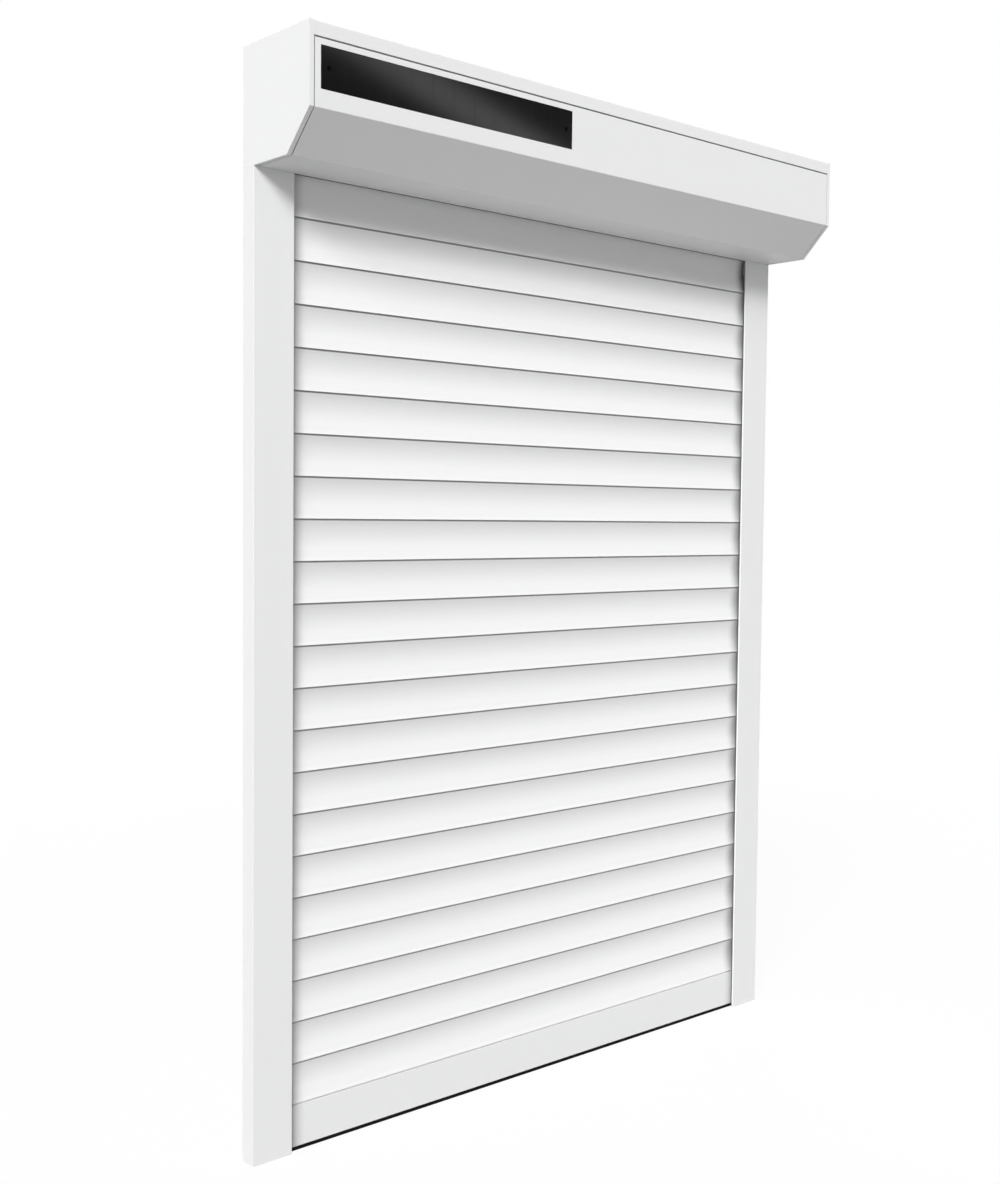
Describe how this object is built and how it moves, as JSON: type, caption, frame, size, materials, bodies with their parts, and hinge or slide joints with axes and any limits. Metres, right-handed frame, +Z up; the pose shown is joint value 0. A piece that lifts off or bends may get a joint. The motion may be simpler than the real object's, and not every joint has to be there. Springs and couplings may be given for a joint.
{
  "type": "roller shutter",
  "caption": "Exterior roller shutter: box with a slanted lower edge and flush solar panel, guide rails, hooked slat curtain with sealed bottom bar, tubular motor and winding tube inside.",
  "frame": {"origin": "middle of the four wall fixing holes in the guide backs, on the wall plane", "axes": "+X across to the right as seen from outside, +Y into the wall, +Z up"},
  "size_m": [0.9, 0.13, 1.2563],
  "materials": {
    "white_sheet": "white powder coat, satin",
    "white_cast": "white powder coat on cast metal",
    "white_profile": "white powder coat on extruded profile",
    "bare_profile": "mill finish",
    "white_slat": "white stove enamel, satin",
    "black_rubber": "matt",
    "grey_rubber": "matt",
    "grey_plastic": "moulded",
    "black_plastic": "moulded",
    "zinc_steel": "zinc plated",
    "spring_steel": "blued",
    "motor_steel": "satin",
    "bearing_steel": "polished",
    "solar_glass": "glossy black laminate",
    "battery_sleeve": "shrink sleeve",
    "black_screws": "black oxide"
  },
  "bodies": {
    "frame": {"rear_top_cover": "white_sheet", "left_end_cap": "white_cast", "right_end_cap": "white_cast", "casing_screws": "zinc_steel", "left_guide_base": "bare_profile", "right_guide_base": "bare_profile", "left_guide_cover": "white_profile", "right_guide_cover": "white_profile", "guide_seals": "grey_rubber", "guide_inlets": "grey_plastic", "motor_bracket": "zinc_steel", "bearing_bracket": "zinc_steel", "bracket_screws": "zinc_steel", "motor_head": "black_plastic", "motor_tube": "motor_steel", "bearing_outer_ring": "bearing_steel", "bearing_balls": "bearing_steel", "battery_pack": "battery_sleeve", "battery_clips": "black_plastic", "battery_lead": "black_rubber", "charge_lead": "black_rubber"},
    "access_cover": {"front_access_cover": "white_sheet", "solar_panel": "solar_glass", "solar_panel_tray": "black_plastic", "solar_panel_screws": "black_screws", "panel_connector": "black_plastic"},
    "winder": {"winding_tube": "zinc_steel", "motor_crown": "black_plastic", "motor_output_shaft": "motor_steel", "drive_wheel": "black_plastic", "idler_plug": "black_plastic", "idler_pin": "zinc_steel", "bearing_inner_ring": "bearing_steel", "hanger_rings": "grey_plastic"},
    "bottom_rail": {"bottom_bar": "white_profile", "bottom_seal": "black_rubber"},
    "body_slat_01": {"slat_01": "white_slat", "hanger_straps": "spring_steel"},
    "body_slat_02": {"slat_02": "white_slat"},
    "body_slat_03": {"slat_03": "white_slat"},
    "body_slat_04": {"slat_04": "white_slat"},
    "body_slat_05": {"slat_05": "white_slat"},
    "body_slat_06": {"slat_06": "white_slat"},
    "body_slat_07": {"slat_07": "white_slat"},
    "body_slat_08": {"slat_08": "white_slat"},
    "body_slat_09": {"slat_09": "white_slat"},
    "body_slat_10": {"slat_10": "white_slat"},
    "body_slat_11": {"slat_11": "white_slat"},
    "body_slat_12": {"slat_12": "white_slat"},
    "body_slat_13": {"slat_13": "white_slat"},
    "body_slat_14": {"slat_14": "white_slat"},
    "body_slat_15": {"slat_15": "white_slat"},
    "body_slat_16": {"slat_16": "white_slat"},
    "body_slat_17": {"slat_17": "white_slat"},
    "body_slat_18": {"slat_18": "white_slat"},
    "body_slat_19": {"slat_19": "white_slat"},
    "body_slat_20": {"slat_20": "white_slat"},
    "body_slat_21": {"slat_21": "white_slat"},
    "body_slat_22": {"slat_22": "white_slat"}
  },
  "joints": [
    {"name": "curtain_lift", "type": "slide", "parent": "frame", "child": "bottom_rail", "axis": [0, 0, 1], "range_m": [0, 1.0675]},
    {"name": "tube_turn", "type": "hinge", "parent": "frame", "child": "winder", "pos_m": [0, -0.065, 0.6283], "axis": [1, 0, 0], "range_deg": [0, 1305]},
    {"name": "cover_off", "type": "slide", "parent": "frame", "child": "access_cover", "axis": [0, -1, 0], "range_m": [0, 0.25]},
    {"name": "slat_01_lift", "type": "slide", "parent": "frame", "child": "body_slat_01", "axis": [0, 0, 1], "range_m": [0, 0.0501], "deforming": ["slat_01", "hanger_straps"]},
    {"name": "slat_02_lift", "type": "slide", "parent": "frame", "child": "body_slat_02", "axis": [0, 0, 1], "range_m": [0, 0.09855], "deforming": ["slat_02"]},
    {"name": "slat_03_lift", "type": "slide", "parent": "frame", "child": "body_slat_03", "axis": [0, 0, 1], "range_m": [0, 0.14699], "deforming": ["slat_03"]},
    {"name": "slat_04_lift", "type": "slide", "parent": "frame", "child": "body_slat_04", "axis": [0, 0, 1], "range_m": [0, 0.19544], "deforming": ["slat_04"]},
    {"name": "slat_05_lift", "type": "slide", "parent": "frame", "child": "body_slat_05", "axis": [0, 0, 1], "range_m": [0, 0.24389], "deforming": ["slat_05"]},
    {"name": "slat_06_lift", "type": "slide", "parent": "frame", "child": "body_slat_06", "axis": [0, 0, 1], "range_m": [0, 0.29234], "deforming": ["slat_06"]},
    {"name": "slat_07_lift", "type": "slide", "parent": "frame", "child": "body_slat_07", "axis": [0, 0, 1], "range_m": [0, 0.34079], "deforming": ["slat_07"]},
    {"name": "slat_08_lift", "type": "slide", "parent": "frame", "child": "body_slat_08", "axis": [0, 0, 1], "range_m": [0, 0.38923], "deforming": ["slat_08"]},
    {"name": "slat_09_lift", "type": "slide", "parent": "frame", "child": "body_slat_09", "axis": [0, 0, 1], "range_m": [0, 0.43768], "deforming": ["slat_09"]},
    {"name": "slat_10_lift", "type": "slide", "parent": "frame", "child": "body_slat_10", "axis": [0, 0, 1], "range_m": [0, 0.48613], "deforming": ["slat_10"]},
    {"name": "slat_11_lift", "type": "slide", "parent": "frame", "child": "body_slat_11", "axis": [0, 0, 1], "range_m": [0, 0.53458], "deforming": ["slat_11"]},
    {"name": "slat_12_lift", "type": "slide", "parent": "frame", "child": "body_slat_12", "axis": [0, 0, 1], "range_m": [0, 0.58302], "deforming": ["slat_12"]},
    {"name": "slat_13_lift", "type": "slide", "parent": "frame", "child": "body_slat_13", "axis": [0, 0, 1], "range_m": [0, 0.63147], "deforming": ["slat_13"]},
    {"name": "slat_14_lift", "type": "slide", "parent": "frame", "child": "body_slat_14", "axis": [0, 0, 1], "range_m": [0, 0.67992], "deforming": ["slat_14"]},
    {"name": "slat_15_lift", "type": "slide", "parent": "frame", "child": "body_slat_15", "axis": [0, 0, 1], "range_m": [0, 0.72837], "deforming": ["slat_15"]},
    {"name": "slat_16_lift", "type": "slide", "parent": "frame", "child": "body_slat_16", "axis": [0, 0, 1], "range_m": [0, 0.77681], "deforming": ["slat_16"]},
    {"name": "slat_17_lift", "type": "slide", "parent": "frame", "child": "body_slat_17", "axis": [0, 0, 1], "range_m": [0, 0.82526], "deforming": ["slat_17"]},
    {"name": "slat_18_lift", "type": "slide", "parent": "frame", "child": "body_slat_18", "axis": [0, 0, 1], "range_m": [0, 0.87371], "deforming": ["slat_18"]},
    {"name": "slat_19_lift", "type": "slide", "parent": "frame", "child": "body_slat_19", "axis": [0, 0, 1], "range_m": [0, 0.92216], "deforming": ["slat_19"]},
    {"name": "slat_20_lift", "type": "slide", "parent": "frame", "child": "body_slat_20", "axis": [0, 0, 1], "range_m": [0, 0.97061], "deforming": ["slat_20"]},
    {"name": "slat_21_lift", "type": "slide", "parent": "frame", "child": "body_slat_21", "axis": [0, 0, 1], "range_m": [0, 1.01905], "deforming": ["slat_21"]},
    {"name": "slat_22_lift", "type": "slide", "parent": "frame", "child": "body_slat_22", "axis": [0, 0, 1], "range_m": [0, 1.0675], "deforming": ["slat_22"]}
  ],
  "couplings": [
    {"joint": "tube_turn", "follows": "curtain_lift", "rad_per_m": 21.336},
    {"joint": "slat_01_lift", "follows": "curtain_lift", "ratio": 0.046932},
    {"joint": "slat_02_lift", "follows": "curtain_lift", "ratio": 0.092316},
    {"joint": "slat_03_lift", "follows": "curtain_lift", "ratio": 0.1377},
    {"joint": "slat_04_lift", "follows": "curtain_lift", "ratio": 0.18308},
    {"joint": "slat_05_lift", "follows": "curtain_lift", "ratio": 0.22847},
    {"joint": "slat_06_lift", "follows": "curtain_lift", "ratio": 0.27385},
    {"joint": "slat_07_lift", "follows": "curtain_lift", "ratio": 0.31924},
    {"joint": "slat_08_lift", "follows": "curtain_lift", "ratio": 0.36462},
    {"joint": "slat_09_lift", "follows": "curtain_lift", "ratio": 0.41001},
    {"joint": "slat_10_lift", "follows": "curtain_lift", "ratio": 0.45539},
    {"joint": "slat_11_lift", "follows": "curtain_lift", "ratio": 0.50077},
    {"joint": "slat_12_lift", "follows": "curtain_lift", "ratio": 0.54616},
    {"joint": "slat_13_lift", "follows": "curtain_lift", "ratio": 0.59154},
    {"joint": "slat_14_lift", "follows": "curtain_lift", "ratio": 0.63693},
    {"joint": "slat_15_lift", "follows": "curtain_lift", "ratio": 0.68231},
    {"joint": "slat_16_lift", "follows": "curtain_lift", "ratio": 0.72769},
    {"joint": "slat_17_lift", "follows": "curtain_lift", "ratio": 0.77308},
    {"joint": "slat_18_lift", "follows": "curtain_lift", "ratio": 0.81846},
    {"joint": "slat_19_lift", "follows": "curtain_lift", "ratio": 0.86385},
    {"joint": "slat_20_lift", "follows": "curtain_lift", "ratio": 0.90923},
    {"joint": "slat_21_lift", "follows": "curtain_lift", "ratio": 0.95461},
    {"joint": "slat_22_lift", "follows": "curtain_lift", "ratio": 1}
  ]
}
